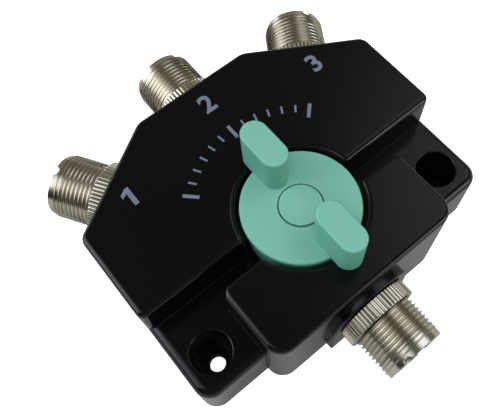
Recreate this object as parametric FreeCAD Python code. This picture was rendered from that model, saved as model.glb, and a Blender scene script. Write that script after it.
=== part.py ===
"""Three-way coaxial antenna switch with four threaded sockets and a rotary knob.

Frame: origin on the knob's axis in the plane of the underside, +Z up along the knob's
axis, +Y towards the middle port, -Y towards the common port. Millimetres.
"""
import FreeCAD, Part
import math
import os

from FreeCAD import Vector

os.makedirs("parts", exist_ok=True)

# ---- housing casting ----
body_half_width = 41.9        # knob axis to the side walls of the plateau and ears
body_height = 27.0            # underside to the top of the plateau and front block
plateau_front = 1.55          # Y of the plateau's front wall
plateau_shoulder = 25.0       # Y where the side walls meet the outer facets
plateau_back = 41.2           # Y of the middle facet
middle_facet_half = 15.6      # half the length of the middle facet
block_half_width = 25.6
block_back = -3.65            # Y of the front block's back wall
block_front = -23.0           # Y of the front block's front wall
ear_height = 16.7             # top of the mounting ears and floor of the channel
ear_front = -18.5             # Y of the ears' front wall
pad_half_width = 11.0         # raised pad around each socket
front_pad_proud = 1.75        # pad of the common port
rear_pad_proud = 0.85         # pads of the three outer ports
pad_drop = 3.2                # top of the pad below the top of the block
wall = 2.6
channel_floor = 1.7           # thickness of the floor of the channel
corner_front_ear = 4.0        # corner radii in plan
corner_front_block = 4.3
corner_back_block = 2.5
corner_shoulder = 3.0
corner_facets = 4.5
corner_plateau_front = 1.9
corner_cavity = 1.5
corner_recess = 1.5
corner_pad = 4.0
edge_round = 1.4              # rounding along the top edges
ear_edge_round = 2.2
pad_edge_round = 0.6
recess_gap = 0.8              # knob disc to the wall of its round recess

# ---- mounting holes in the ears ----
ear_hole_spacing = 68.6
ear_hole_y = -10.4
ear_hole_radius = 2.0
ear_pocket_radius = 4.65      # mouth of the pocket for the screw's head
ear_pocket_foot_radius = 4.35
ear_hole_web = 3.0            # metal left under the pocket
ear_pocket_round = 0.4

# ---- bottom cover ----
cover_thickness = 1.6
cover_ledge = 1.2             # width of the ledge that the cover sits on
cover_gap = 0.15
cover_boss_radius = 2.9
cover_boss_inset = 2.4        # boss centre to the wall's inside face
cover_boss_from_corner = 1.4  # rear bosses, along the middle facet from its corner
cover_screw_radius = 1.5
cover_screw_head_radius = 2.75
cover_screw_length = 8.0
screw_gap = 0.03              # radial play of a screw in its tapped hole
hole_gap = 0.15               # radial play of a screw in its through hole
tip_gap = 0.8                 # empty depth below a screw's tip
drive_recess_width = 0.8
drive_recess_depth = 0.7

# ---- sockets: 5/8 inch, 24 threads per inch ----
inch = 25.4
thread_radius = 0.625 * inch / 2
thread_pitch = inch / 24
thread_depth = 0.62
socket_height = 12.9          # socket axis above the underside
socket_reach = 16.3           # housing wall to the socket's mouth
mouth_length = 1.7            # plain stretch at the mouth
mouth_radius = 7.45
socket_bore_radius = 6.05
socket_depth = 6.0            # mouth to the insulator's face
insulator_seat_radius = 6.3   # wider bore behind the socket's, with a step that stops the insulator
flange_radius = 9.5
flange_thickness = 1.5
shell_hole_gap = 0.10
mouth_notch_width = 2.3
mouth_notch_depth = 1.2
mouth_notch_clock = {         # degrees from straight up, clockwise seen from inside the housing
    "jack_1": 2.0,
    "jack_2": 47.0,
    "jack_3": 30.0,
    "jack_common": 30.0,
}
mouth_round = 0.25
ring_radius = 9.05
ring_length = 4.0
ring_rib_count = 56
ring_rib_depth = 0.35
ring_gap = 0.04
insulator_gap = 0.05
insulator_tail = 1.6          # insulator standing out behind the flange
contact_radius = 2.7
contact_bore_radius = 2.0
contact_bore_depth = 9.3
contact_slit = 0.5
contact_slit_depth = 6.0
contact_recess = 0.3          # contact's tip below the insulator's face
tail_radius = 1.5
tail_length = 2.6             # shortest tail of the outer ports, behind its insulator
tail_to_sweep = 1.2           # tails to the circle swept by the rotor's arm

# ---- rotor ----
switch_angle = 45.0           # from the middle port to either outer port
arm_half_width = 2.2
arm_thickness = 0.8
arm_root_half_width = 5.0
arm_root_reach = 10.4
arm_rivet_x = 3.0
arm_rivet_y = 8.0
rivet_radius = 0.9
rivet_head_radius = 1.5
rivet_head_height = 0.5
slip_ring_radius = 7.2
wiper_gap = 0.05              # sliding contacts, face to face
wiper_thickness = 0.35
wiper_half_width = 1.6
wiper_overlap = 2.2           # length of a wiper over the rotor
wiper_end_gap = 0.2           # end of a wiper to the insulator, at the shortest tail
hub_flange_radius = 11.4
hub_flange_thickness = 5.7
hub_neck_radius = 4.3
hub_bore_gap = 0.02
hub_to_bush = 0.1
hub_pin_radius = 0.75
hub_pin_drop = 1.6            # pin's axis below the top of the neck

# ---- shaft, bush and clip ----
shaft_radius = 3.0
shaft_gap = 0.04
shaft_flat = 2.3              # axis to the flat under the knob
shaft_journal_radius = 2.0
bush_radius = 4.2
bush_gap = 0.02
bush_flange_radius = 5.4
bush_flange_thickness = 0.8
bush_proud = 0.2
boss_radius = 6.2
boss_height = 2.3             # housing boss above the channel's floor
clip_thickness = 0.7
clip_radius = 4.9
clip_groove_radius = 2.45
clip_gap = 0.1
clip_mouth = 4.0

# ---- detent plate ----
plate_top = 4.4
plate_thickness = 1.4
plate_half_length = 20.2
plate_half_width = 11.2
plate_corner = 3.0
plate_screw_x = 17.0
plate_boss_radius = 3.0
plate_screw_radius = 1.25
plate_screw_head_radius = 2.3
plate_screw_length = 7.0
detent_circle = 8.0           # axis to the ball and to the stop peg
ball_radius = 1.6
ball_gap = 0.05
ball_hole_gap = 0.1
ball_hole_roof = 0.6
dimple_radius = 1.1
detent_wire = 0.4
detent_turns = 3.5
stop_peg_radius = 1.2
stop_slot_gap = 0.3
hub_lift = 0.4                # hub flange above the plate

# ---- knob ----
disc_radius = 13.7
disc_thickness = 1.7
disc_proud = 0.1              # disc's top above the housing's top
skirt_radius = 12.9
skirt_wall = 1.8
knob_floor_gap = 0.5          # skirt above the channel's floor
knob_rim_round = 0.5
lobe_half_width = 3.16
lobe_inner = 5.85             # axis to a lobe's near end
lobe_outer = 18.65            # axis to a lobe's far end
lobe_height = 11.2            # lobe above the disc
lobe_clearance = 0.3          # overhanging end above the housing
lobe_round = 0.4
lobe_root_inset = 1.2         # disc's edge to the foot of a lobe
cap_radius = 5.05
cap_groove = 0.25
cap_thickness = 1.2
cap_proud = 0.25
cap_round = 0.2
cap_lift = 0.1                # cap above the screw's head
knob_post_radius = 5.4
knob_post_gap = 0.3           # post above the clip
knob_shaft_gap = 0.05
knob_web = 0.7                # web between the shaft's end and the screw's head
knob_screw_radius = 1.5
knob_screw_head_radius = 2.8
knob_screw_head_height = 1.6
knob_screw_length = 6.5

up = Vector(0, 0, 1)
origin = Vector(0, 0, 0)
cut_over = 1.0                # how far a cutting tool runs past the face it opens
same_place = 1e-3             # two places no further apart than this are the same


# ---- geometry helpers ----
def turned(x, y, degrees):
    """A point turned about the knob's axis."""
    a = math.radians(degrees)
    return x * math.cos(a) - y * math.sin(a), x * math.sin(a) + y * math.cos(a)


def rounded_face(corners):
    """A flat face at Z 0 from (x, y, corner radius) points taken in order."""
    count = len(corners)
    stretches = []
    for i in range(count):
        before, here, after = corners[i - 1], corners[i], corners[(i + 1) % count]
        point = Vector(here[0], here[1], 0)
        back = (Vector(before[0], before[1], 0) - point).normalize()
        ahead = (Vector(after[0], after[1], 0) - point).normalize()
        half = back.getAngle(ahead) / 2
        reach = here[2] / math.tan(half)
        middle = (back + ahead).normalize()
        bow = point + middle * (here[2] / math.sin(half) - here[2])
        stretches.append((point + back * reach, bow, point + ahead * reach))
    edges = []
    for i, (start, bow, end) in enumerate(stretches):
        if corners[i][2] > 0:
            edges.append(Part.Arc(start, bow, end).toShape())
        following = stretches[(i + 1) % count][0]
        if end.distanceToPoint(following) > same_place:
            edges.append(Part.makeLine(end, following))
    return Part.Face(Part.Wire(edges))


def raised(face, low, high):
    """A flat face at Z 0 made a solid from one height to another."""
    solid = face.extrude(Vector(0, 0, high - low))
    solid.translate(Vector(0, 0, low))
    return solid


def inset(face, distance):
    return face.makeOffset2D(-distance)


def rod(radius, low, high, x=0.0, y=0.0):
    return Part.makeCylinder(radius, high - low, Vector(x, y, low), up)


def bar(x0, x1, y0, y1, z0, z1):
    return Part.makeBox(x1 - x0, y1 - y0, z1 - z0, Vector(x0, y0, z0))


def fused(shapes):
    return shapes[0].multiFuse(shapes[1:]).removeSplitter()


def spun_up(points):
    """A solid turned about the knob's axis from (radius, height) points."""
    ring = [Vector(r, 0, z) for r, z in points]
    return Part.Face(Part.makePolygon(ring + ring[:1])).revolve(origin, up, 360)


def cover_screw_places():
    """Bosses in the corners of the cavity: beside the ears, at the back and at the front."""
    inset = wall + cover_boss_inset
    places = [(body_half_width - inset, plateau_front + inset),
              (middle_facet_half - cover_boss_from_corner, plateau_back - inset),
              (block_half_width - inset, block_front + inset)]
    return [(side * x, y) for x, y in places for side in (-1, 1)]


def edges_where(solid, test):
    return [edge for edge in solid.Edges if test(edge)]


def lies_at_height(edge, height):
    box = edge.BoundBox
    return abs(box.ZMin - height) < same_place and abs(box.ZMax - height) < same_place


def stands_at(edge, x, y, low, high):
    box = edge.BoundBox
    sideways = abs(box.XMin - x) + abs(box.XMax - x) + abs(box.YMin - y) + abs(box.YMax - y)
    return sideways < same_place and box.ZMax > high - same_place and box.ZMin < low + same_place


# ---- heights and places that several pieces share ----
recess_radius = disc_radius + recess_gap
roof = body_height - wall                       # inside face of the top
channel_roof = ear_height - channel_floor       # inside face under the channel
plate_bottom = plate_top - plate_thickness
hub_bottom = plate_top + hub_lift
arm_bottom = hub_bottom + hub_flange_thickness
arm_top = arm_bottom + arm_thickness
wiper_bottom = arm_top + wiper_gap
wiper_top = wiper_bottom + wiper_thickness
bush_bottom = channel_roof - bush_flange_thickness
bush_top = ear_height + boss_height + bush_proud
hub_top = bush_bottom - hub_to_bush
clip_bottom = bush_top + clip_gap
clip_top = clip_bottom + clip_thickness
disc_top = body_height + disc_proud
disc_bottom = disc_top - disc_thickness
cap_floor = disc_top + cap_proud - cap_thickness
screw_seat = cap_floor - cap_lift - knob_screw_head_height
shaft_top = screw_seat - knob_web
post_bottom = clip_top + knob_post_gap
shell_back = -wall - flange_thickness           # back of a socket's flange, from the wall face
insulator_back = shell_back - insulator_tail
insulator_front = socket_reach - socket_depth
wiper_seat = tail_length - wiper_end_gap        # length of a wiper under its tail

shoulder = Vector(-body_half_width, plateau_shoulder, 0)
facet_corner = Vector(-middle_facet_half, plateau_back, 0)
facet_middle = (shoulder + facet_corner) * 0.5
facet_angle = math.degrees(math.atan2(facet_corner.y - shoulder.y, facet_corner.x - shoulder.x))

# each port: the middle of its wall face, and its axis as an angle from +Y
ports = {
    "jack_1": (facet_middle.x, facet_middle.y, facet_angle),
    "jack_2": (0.0, plateau_back, 0.0),
    "jack_3": (-facet_middle.x, facet_middle.y, -facet_angle),
    "jack_common": (0.0, block_front, 180.0),
}


def distance_from_knob(port, s):
    """From the knob's axis to the point of a port's axis that lies a distance out from its wall."""
    x, y, angle = ports[port]
    a = math.radians(angle)
    return math.hypot(x - s * math.sin(a), y + s * math.cos(a))


# the arm reaches as far as the shortest tail of the outer ports lets it
outer_ports = [port for port in ports if port != "jack_common"]
nearest_tail = min(distance_from_knob(port, insulator_back - tail_length) for port in outer_ports)
arm_reach = nearest_tail - tail_to_sweep


def ring_seat(port):
    """How far the pad under a port's ring nut stands out from its wall face."""
    return front_pad_proud if port == "jack_common" else rear_pad_proud


def at_port(shape, port):
    """Turn and move a shape built with its axis along +Y from the wall face at Y 0."""
    x, y, angle = ports[port]
    placed = shape.copy()
    placed.rotate(origin, up, angle)
    placed.translate(Vector(x, y, 0))
    return placed


def along_socket(points):
    """A solid turned about the socket's axis from (radius, distance outwards) points."""
    ring = [Vector(r, s, socket_height) for r, s in points]
    face = Part.Face(Part.makePolygon(ring + ring[:1]))
    return face.revolve(Vector(0, 0, socket_height), Vector(0, 1, 0), 360)


def socket_rod(radius, start, end):
    return Part.makeCylinder(radius, end - start, Vector(0, start, socket_height), Vector(0, 1, 0))


# ---- housing ----
def plateau_face():
    w, shoulder_y = body_half_width, plateau_shoulder
    return rounded_face([
        (-w, plateau_front, corner_plateau_front),
        (w, plateau_front, corner_plateau_front),
        (w, shoulder_y, corner_shoulder),
        (middle_facet_half, plateau_back, corner_facets),
        (-middle_facet_half, plateau_back, corner_facets),
        (-w, shoulder_y, corner_shoulder),
    ])


def rounded_top(solid, radius):
    return solid.makeFillet(radius, edges_where(solid, lambda e: lies_at_height(e, body_height)))


def plateau():
    """Raised six-sided top with the round recess cut into its front wall."""
    solid = raised(plateau_face(), 0, body_height)
    solid = solid.cut(rod(recess_radius, ear_height, body_height + cut_over))
    x = math.sqrt(recess_radius ** 2 - plateau_front ** 2)
    tips = edges_where(solid, lambda e: any(
        stands_at(e, side * x, plateau_front, ear_height, body_height) for side in (-1, 1)))
    return rounded_top(solid.makeFillet(corner_recess, tips), edge_round)


def front_block():
    w = block_half_width
    face = rounded_face([
        (-w, block_front, corner_front_block),
        (w, block_front, corner_front_block),
        (w, block_back, corner_back_block),
        (-w, block_back, corner_back_block),
    ])
    solid = raised(face, 0, body_height)
    solid = solid.cut(rod(recess_radius, ear_height, body_height + cut_over))
    x = math.sqrt(recess_radius ** 2 - block_back ** 2)
    tips = edges_where(solid, lambda e: any(
        stands_at(e, side * x, block_back, ear_height, body_height) for side in (-1, 1)))
    return rounded_top(solid.makeFillet(corner_recess, tips), edge_round)


def ear_slab():
    """Low slab across the front that makes both ears and the floor of the channel."""
    w = body_half_width
    inside = plateau_front + corner_plateau_front + cut_over
    face = rounded_face([
        (-w, ear_front, corner_front_ear),
        (w, ear_front, corner_front_ear),
        (w, inside, 0),
        (-w, inside, 0),
    ])
    solid = raised(face, 0, ear_height)
    rim = edges_where(solid, lambda e: lies_at_height(e, ear_height)
                      and e.BoundBox.YMin < inside - same_place)
    return solid.makeFillet(ear_edge_round, rim)


def socket_pad(proud):
    """Raised pad that a socket's ring nut seats on."""
    top = body_height - pad_drop
    solid = bar(-pad_half_width, pad_half_width, -wall / 2, proud, 0, top)
    corners = edges_where(solid, lambda e: e.BoundBox.YLength > proud
                          and e.BoundBox.ZMin > top - same_place)
    solid = solid.makeFillet(corner_pad, corners)
    rim = edges_where(solid, lambda e: e.BoundBox.YMin > proud - same_place
                      and e.BoundBox.ZMax > same_place)
    return solid.makeFillet(pad_edge_round, rim)


def stem_face(margin):
    """Part of the cavity under the front block and the knob, a margin inside the walls."""
    w = block_half_width - margin
    return rounded_face([
        (-w, block_front + margin, corner_cavity),
        (w, block_front + margin, corner_cavity),
        (w, plateau_front + corner_plateau_front + margin, 0),
        (-w, plateau_front + corner_plateau_front + margin, 0),
    ])


def cavity():
    """Everything hollow inside: low under the channel, high under the plateau and block."""
    low = fused([raised(inset(plateau_face(), wall), 0, channel_roof),
                 raised(stem_face(wall), 0, channel_roof)])
    inner_block = rounded_face([
        (-block_half_width + wall, block_front + wall, corner_cavity),
        (block_half_width - wall, block_front + wall, corner_cavity),
        (block_half_width - wall, block_back - wall, corner_cavity),
        (-block_half_width + wall, block_back - wall, corner_cavity),
    ])
    high = [raised(inset(plateau_face(), wall), channel_roof, roof),
            raised(inner_block, channel_roof, roof)]
    knob_well = rod(recess_radius + wall, channel_roof, roof)
    return fused([low] + [pocket.cut(knob_well) for pocket in high])


def cover_face(gap):
    """Outline of the cover's seat, or of the cover itself when a gap is given."""
    margin = wall - cover_ledge + gap
    wide = raised(inset(plateau_face(), margin), 0, cover_thickness)
    return fused([wide, raised(stem_face(margin), 0, cover_thickness)])


def ear_pocket(side):
    x = side * ear_hole_spacing / 2
    points = [(0, ear_hole_web), (ear_pocket_foot_radius, ear_hole_web),
              (ear_pocket_radius, ear_height - ear_pocket_round),
              (ear_pocket_radius + ear_pocket_round, ear_height),
              (ear_pocket_radius + ear_pocket_round, ear_height + cut_over), (0, ear_height + cut_over)]
    pocket = spun_up(points)
    pocket.translate(Vector(x, ear_hole_y, 0))
    return pocket.fuse(rod(ear_hole_radius, -cut_over, ear_hole_web + cut_over, x, ear_hole_y))


def housing():
    pads = [at_port(socket_pad(ring_seat(port)), port) for port in ports]
    shell = fused([plateau(), front_block(), ear_slab()] + pads)
    shell = shell.cut(cavity())
    bosses = [rod(cover_boss_radius, cover_thickness, roof, x, y)
              for x, y in cover_screw_places()]
    bosses += [rod(plate_boss_radius, plate_top, channel_roof + channel_floor / 2, x, 0)
               for x in (-plate_screw_x, plate_screw_x)]
    bosses.append(rod(boss_radius, channel_roof + channel_floor / 2, ear_height + boss_height))
    shell = fused([shell] + bosses)
    cuts = [cover_face(0), ear_pocket(-1), ear_pocket(1),
            rod(bush_radius + bush_gap, channel_roof - cut_over, bush_top + cut_over)]
    cuts += [rod(cover_screw_radius + screw_gap, 0, cover_screw_length + tip_gap, x, y)
             for x, y in cover_screw_places()]
    cuts += [rod(plate_screw_radius + screw_gap, plate_top - cut_over,
                 plate_bottom + plate_screw_length + tip_gap, x, 0)
             for x in (-plate_screw_x, plate_screw_x)]
    for port in ports:
        hole = socket_rod(thread_radius + shell_hole_gap, -wall - cut_over, ring_seat(port) + cut_over)
        cuts.append(at_port(hole, port))
    return shell.cut(cuts)


# ---- bottom cover and its screws ----
def countersunk(radius, head_radius, length, low, slot_across):
    """A screw driven upwards, its flat head level with a given height."""
    cone = head_radius - radius
    points = [(0, low), (head_radius, low), (radius, low + cone), (radius, low + length), (0, low + length)]
    screw = spun_up(points)
    half = drive_recess_width / 2
    long = slot_across / 2
    slot = bar(-long, long, -half, half, low - cut_over, low + drive_recess_depth)
    cross = bar(-half, half, -long, long, low - cut_over, low + drive_recess_depth)
    return screw.cut([slot, cross])


def countersink(radius, head_radius, gap, low, high):
    points = [(0, low - cut_over), (head_radius + gap, low - cut_over), (head_radius + gap, low),
              (radius + gap, low + head_radius - radius), (radius + gap, high), (0, high)]
    return spun_up(points)


def moved_copies(shape, places):
    copies = []
    for x, y in places:
        copy = shape.copy()
        copy.translate(Vector(x, y, 0))
        copies.append(copy)
    return copies


def bottom_cover():
    plate = cover_face(cover_gap)
    sink = countersink(cover_screw_radius, cover_screw_head_radius, hole_gap, 0,
                       cover_thickness + cut_over)
    return plate.cut(moved_copies(sink, cover_screw_places()))


def cover_screws():
    screw = countersunk(cover_screw_radius, cover_screw_head_radius, cover_screw_length, 0,
                        2 * cover_screw_radius)
    return Part.makeCompound(moved_copies(screw, cover_screw_places()))


# ---- sockets ----
def threaded_outline(start, end):
    """Zigzag of (radius, distance) points along the thread, crests at the full radius."""
    turns = int((end - start) / thread_pitch)
    run_out = (end - start - turns * thread_pitch) / 2
    root = thread_radius - thread_depth
    crest = thread_pitch / 8
    points = [(thread_radius, start)]
    for i in range(turns):
        s = start + run_out + i * thread_pitch
        points += [(thread_radius, s + crest / 2), (root, s + thread_pitch / 2 - crest / 2),
                   (root, s + thread_pitch / 2 + crest / 2), (thread_radius, s + thread_pitch - crest / 2)]
    return points + [(thread_radius, end)]


def socket_shell(port):
    """Threaded barrel, put in from inside and stopped by its flange behind the wall."""
    mouth = socket_reach
    neck = mouth - mouth_length
    points = [(insulator_seat_radius, shell_back), (flange_radius, shell_back), (flange_radius, -wall)]
    points.append((thread_radius, -wall))
    points += threaded_outline(ring_seat(port) + ring_length, neck - (thread_radius - mouth_radius))
    points += [(mouth_radius, neck), (mouth_radius, mouth - mouth_round),
               (mouth_radius - mouth_round, mouth), (socket_bore_radius + mouth_round, mouth),
               (socket_bore_radius, mouth - mouth_round),
               (socket_bore_radius, insulator_front), (insulator_seat_radius, insulator_front)]
    shell = along_socket(points)
    return shell.cut(mouth_notches(port))


def mouth_notches(port):
    """Two round-bottomed notches across the mouth that key the plug, turned to the port's clock angle."""
    half = mouth_notch_width / 2
    reach = thread_radius + cut_over
    bottom = socket_reach - mouth_notch_depth
    tall = 2 * reach
    slot = bar(-half, half, bottom + half, socket_reach + cut_over,
               socket_height - reach, socket_height + reach)
    round_end = Part.makeCylinder(half, tall, Vector(0, bottom + half, socket_height - reach), up)
    for tool in (slot, round_end):
        tool.rotate(Vector(0, 0, socket_height), Vector(0, 1, 0), mouth_notch_clock[port])
    return [slot, round_end]


def socket_ring(port):
    """Knurled ring nut that pulls the flange against the wall."""
    groove_radius = math.pi * ring_radius / ring_rib_count / 2
    bore = thread_radius + ring_gap
    seat = ring_seat(port)
    front = seat + ring_length
    ring = along_socket([(bore, seat), (ring_radius, seat), (ring_radius, front), (bore, front)])
    grooves = []
    centre = ring_radius - ring_rib_depth + groove_radius
    for i in range(ring_rib_count):
        angle = 2 * math.pi * (i + 0.5) / ring_rib_count
        place = Vector(centre * math.cos(angle), seat - cut_over,
                       socket_height + centre * math.sin(angle))
        grooves.append(Part.makeCylinder(groove_radius, ring_length + 2 * cut_over, place, Vector(0, 1, 0)))
    return ring.cut(grooves)


def socket_insulator():
    """White insulator pushed in from inside up to the barrel's step, bored for the contact."""
    outside = insulator_seat_radius - insulator_gap
    hole = contact_radius + insulator_gap
    tail_hole = tail_radius + insulator_gap
    points = [(tail_hole, insulator_back), (outside, insulator_back), (outside, insulator_front),
              (hole, insulator_front), (hole, -insulator_gap), (tail_hole, -insulator_gap)]
    return along_socket(points)


def tail_end(port):
    """Where a port's solder tail ends behind the wall face, short of the arm's sweep."""
    x, y, angle = ports[port]
    if port == "jack_common":
        return y + slip_ring_radius + tail_to_sweep
    a = math.radians(angle)
    along = y * math.cos(a) - x * math.sin(a)
    keep_out = arm_reach + tail_to_sweep
    return math.sqrt(along ** 2 - (x * x + y * y - keep_out ** 2)) - along


def socket_contact(port):
    """Centre contact: slit socket for the plug's pin, and a tail that runs inside."""
    tip = insulator_front - contact_recess
    body = fused([socket_rod(contact_radius, 0, tip), socket_rod(tail_radius, tail_end(port), cut_over)])
    bore = socket_rod(contact_bore_radius, tip - contact_bore_depth, tip + cut_over)
    half = contact_slit / 2
    reach = contact_radius + cut_over
    start = tip - contact_slit_depth
    upright = bar(-half, half, start, tip + cut_over, socket_height - reach, socket_height + reach)
    level = bar(-reach, reach, start, tip + cut_over, socket_height - half, socket_height + half)
    flat = bar(-tail_radius, tail_radius, tail_end(port) - cut_over, tail_end(port) + wiper_seat,
               socket_height - 2 * tail_radius, wiper_top)
    return body.cut([bore, upright, level, flat])


def wiper(port):
    """Flat spring on the underside of a tail, which the rotor slides beneath."""
    end = tail_end(port)
    leaf = bar(-wiper_half_width, wiper_half_width, end - tail_to_sweep - wiper_overlap,
               end + wiper_seat, wiper_bottom, wiper_top)
    return at_port(leaf, port)


# ---- rotor ----
def rotor_hub():
    """Moulded hub pinned to the shaft, with the ball's pocket and the stop peg."""
    hub = fused([rod(hub_flange_radius, hub_bottom, arm_bottom),
                 rod(hub_neck_radius, arm_bottom, hub_top),
                 rod(stop_peg_radius, plate_bottom + hub_lift, hub_bottom + cut_over, 0, detent_circle)])
    pin = Part.makeCylinder(hub_pin_radius + hub_bore_gap, 2 * hub_neck_radius + 2 * cut_over,
                            Vector(-hub_neck_radius - cut_over, 0, hub_top - hub_pin_drop), Vector(1, 0, 0))
    rivets = [rod(rivet_radius + hub_bore_gap, hub_bottom - cut_over, arm_bottom + cut_over, x, arm_rivet_y)
              for x in (-arm_rivet_x, arm_rivet_x)]
    sinks = [rod(rivet_head_radius + hole_gap, hub_bottom - cut_over, hub_bottom + rivet_head_height,
                 x, arm_rivet_y) for x in (-arm_rivet_x, arm_rivet_x)]
    pocket = rod(ball_radius + ball_hole_gap, hub_bottom - cut_over, arm_bottom - ball_hole_roof,
                 0, -detent_circle)
    bore = rod(shaft_radius + hub_bore_gap, hub_bottom - cut_over, hub_top + cut_over)
    return hub.cut([pin, pocket, bore] + rivets + sinks)


def rotor_contact():
    """Slip ring and arm cut from one flat strip, riveted on the hub."""
    ring = rod(slip_ring_radius, arm_bottom, arm_top)
    root = bar(-arm_root_half_width, arm_root_half_width, 0, arm_root_reach, arm_bottom, arm_top)
    arm = bar(-arm_half_width, arm_half_width, 0, arm_reach - arm_half_width, arm_bottom, arm_top)
    tip = rod(arm_half_width, arm_bottom, arm_top, 0, arm_reach - arm_half_width)
    strip = fused([ring, root, arm, tip])
    holes = [rod(rivet_radius + hub_bore_gap, arm_bottom - cut_over, arm_top + cut_over, x, arm_rivet_y)
             for x in (-arm_rivet_x, arm_rivet_x)]
    neck = rod(hub_neck_radius + hub_bore_gap, arm_bottom - cut_over, arm_top + cut_over)
    return strip.cut([neck] + holes)


def contact_rivets():
    foot = hub_bottom + rivet_head_height
    rivet = spun_up([(0, hub_bottom), (rivet_head_radius, hub_bottom), (rivet_head_radius, foot),
                     (rivet_radius, foot), (rivet_radius, arm_top), (rivet_head_radius, arm_top),
                     (rivet_radius, arm_top + rivet_head_height), (0, arm_top + rivet_head_height)])
    return Part.makeCompound(moved_copies(rivet, [(-arm_rivet_x, arm_rivet_y), (arm_rivet_x, arm_rivet_y)]))


# ---- shaft, bush and clip ----
def shaft():
    """Stepped steel shaft: journal in the plate, pinned in the hub, flat under the knob."""
    body = fused([rod(shaft_radius, hub_bottom, shaft_top),
                  rod(shaft_journal_radius, plate_bottom, hub_bottom + cut_over)])
    groove = rod(shaft_radius + cut_over, clip_bottom - clip_gap / 2, clip_top + clip_gap / 2).cut(
        rod(clip_groove_radius, clip_bottom - cut_over, clip_top + cut_over))
    flat = bar(-shaft_radius, shaft_radius, shaft_flat, shaft_radius + cut_over,
               post_bottom - clip_gap, shaft_top + cut_over)
    tap = rod(knob_screw_radius + screw_gap, screw_seat - knob_screw_length - tip_gap,
              shaft_top + cut_over)
    pin = Part.makeCylinder(hub_pin_radius + hub_bore_gap, 2 * shaft_radius + 2 * cut_over,
                            Vector(-shaft_radius - cut_over, 0, hub_top - hub_pin_drop), Vector(1, 0, 0))
    return body.cut([groove, flat, tap, pin])


def hub_pin():
    return Part.makeCylinder(hub_pin_radius, 2 * hub_neck_radius - 2 * hole_gap,
                             Vector(-hub_neck_radius + hole_gap, 0, hub_top - hub_pin_drop),
                             Vector(1, 0, 0))


def shaft_bush():
    bore = shaft_radius + shaft_gap
    return spun_up([(bore, bush_bottom), (bush_flange_radius, bush_bottom),
                    (bush_flange_radius, channel_roof), (bush_radius, channel_roof),
                    (bush_radius, bush_top), (bore, bush_top)])


def retaining_clip():
    """Open clip in the shaft's groove above the bush."""
    ring = rod(clip_radius, clip_bottom, clip_top).cut(
        rod(clip_groove_radius + hub_bore_gap, clip_bottom - cut_over, clip_top + cut_over))
    mouth = bar(-clip_mouth / 2, clip_mouth / 2, -clip_radius - cut_over, 0,
                clip_bottom - cut_over, clip_top + cut_over)
    return ring.cut(mouth)


# ---- detent ----
def detent_plate():
    """Steel plate with three holes for the ball, the stop slot and the lower bearing."""
    l, w = plate_half_length, plate_half_width
    face = rounded_face([(-l, -w, plate_corner), (l, -w, plate_corner),
                         (l, w, plate_corner), (-l, w, plate_corner)])
    plate = raised(face, plate_bottom, plate_top)
    below, above = plate_bottom - cut_over, plate_top + cut_over
    cuts = [rod(shaft_journal_radius + shaft_gap, below, above)]
    for stop in (-switch_angle, 0, switch_angle):
        x, y = turned(0, -detent_circle, stop)
        cuts.append(rod(dimple_radius, below, above, x, y))
    cuts.append(stop_slot(below, above))
    sink = countersink(plate_screw_radius, plate_screw_head_radius, hole_gap, plate_bottom, above)
    cuts += moved_copies(sink, [(-plate_screw_x, 0), (plate_screw_x, 0)])
    return plate.cut(cuts)


def stop_slot(low, high):
    """Curved slot that lets the stop peg travel from one outer port to the other."""
    half = stop_peg_radius + stop_slot_gap
    ring = rod(detent_circle + half, low, high).cut(rod(detent_circle - half, low, high))
    sweep = Part.makeCylinder(detent_circle + half, high - low, Vector(0, 0, low), up, 2 * switch_angle)
    sweep.rotate(origin, up, 90 - switch_angle)
    ends = [turned(0, detent_circle, side * switch_angle) for side in (-1, 1)]
    return fused([ring.common(sweep)] + [rod(half, low, high, x, y) for x, y in ends])


def plate_screws():
    screw = countersunk(plate_screw_radius, plate_screw_head_radius, plate_screw_length, plate_bottom,
                        2 * plate_screw_radius)
    return Part.makeCompound(moved_copies(screw, [(-plate_screw_x, 0), (plate_screw_x, 0)]))


def detent_ball():
    return Part.makeSphere(ball_radius, Vector(0, -detent_circle, plate_top + ball_gap + ball_radius))


def detent_spring():
    """Coil spring between the ball and the roof of its pocket."""
    half = detent_wire / 2
    low = plate_top + ball_gap + 2 * ball_radius + half
    high = arm_bottom - ball_hole_roof - half
    coil_radius = ball_radius - detent_wire
    path = Part.Wire(Part.makeHelix((high - low) / detent_turns, high - low, coil_radius))
    section = Part.Wire(Part.makeCircle(half, Vector(coil_radius, 0, 0), Vector(0, 1, 0)))
    spring = path.makePipeShell([section], True, True)
    spring.translate(Vector(0, -detent_circle, low))
    return spring


# ---- knob ----
def knob_lobe(side):
    """One finger lobe: a flat-topped bar with round ends that overhangs the disc."""
    near, far = lobe_inner + lobe_half_width, lobe_outer - lobe_half_width
    foot, high = disc_top - disc_thickness / 2, disc_top + lobe_height
    ends = [rod(lobe_half_width, foot, high, 0, y) for y in (near, far)]
    lobe = fused(ends + [bar(-lobe_half_width, lobe_half_width, near, far, foot, high)])
    lobe = lobe.makeFillet(lobe_round, edges_where(lobe, lambda e: lies_at_height(e, high)))
    underside = body_height + lobe_clearance
    undercut = rod(2 * lobe_outer, foot - cut_over, underside).cut(
        rod(disc_radius - lobe_root_inset, foot - cut_over, underside))
    lobe = lobe.cut(undercut)
    if side < 0:
        lobe.rotate(origin, up, 180)
    return lobe


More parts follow.
